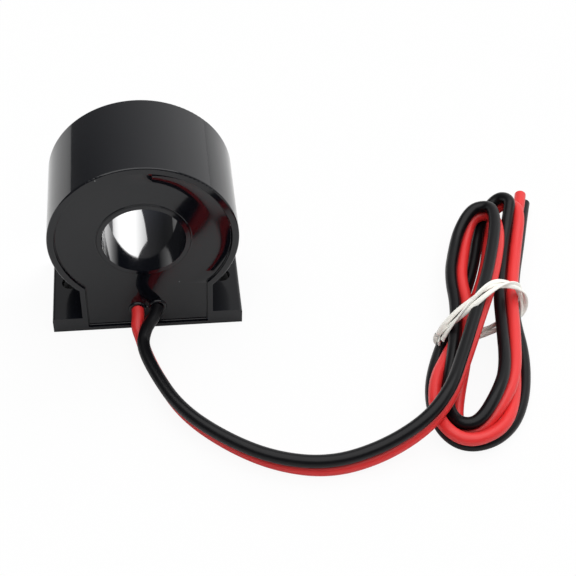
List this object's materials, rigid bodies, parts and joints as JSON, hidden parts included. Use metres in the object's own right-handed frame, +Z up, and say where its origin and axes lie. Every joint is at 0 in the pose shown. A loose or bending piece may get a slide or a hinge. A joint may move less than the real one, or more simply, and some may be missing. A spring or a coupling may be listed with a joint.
{
  "type": "current transformer",
  "caption": "Solid-core current transformer: potted ring case with a bore, on a flat foot with screw holes, with red and black flying leads folded into a banded hank.",
  "frame": {"origin": "middle of the underside of the foot", "axes": "+Z up, bore axis along Y, potted face with the leads towards -Y, screw holes in line along X"},
  "size_m": [0.0973, 0.0665, 0.0386],
  "materials": {
    "case": "gloss black moulded plastic",
    "resin": "gloss black cast epoxy",
    "core_steel": "strip-wound steel",
    "wrap": "white insulating wrap",
    "copper": "enamelled copper wire",
    "tape": "yellow polyester tape",
    "solder": "tinned strands and solder",
    "sleeve": "black heat-shrink sleeve",
    "red_pvc": "satin red insulation",
    "black_pvc": "satin black insulation",
    "elastic": "cream twisted elastic"
  },
  "bodies": {
    "root": {"case": "case", "potting_resin": "resin", "core": "core_steel", "core_wrap": "wrap", "secondary_winding": "copper", "winding_tape": "tape", "winding_start": "copper", "winding_finish": "copper", "red_splice": "solder", "black_splice": "solder", "red_sleeve": "sleeve", "black_sleeve": "sleeve", "red_lead": "red_pvc", "black_lead": "black_pvc", "lead_hank": "black_pvc", "hank_band": "elastic"}
  },
  "joints": []
}
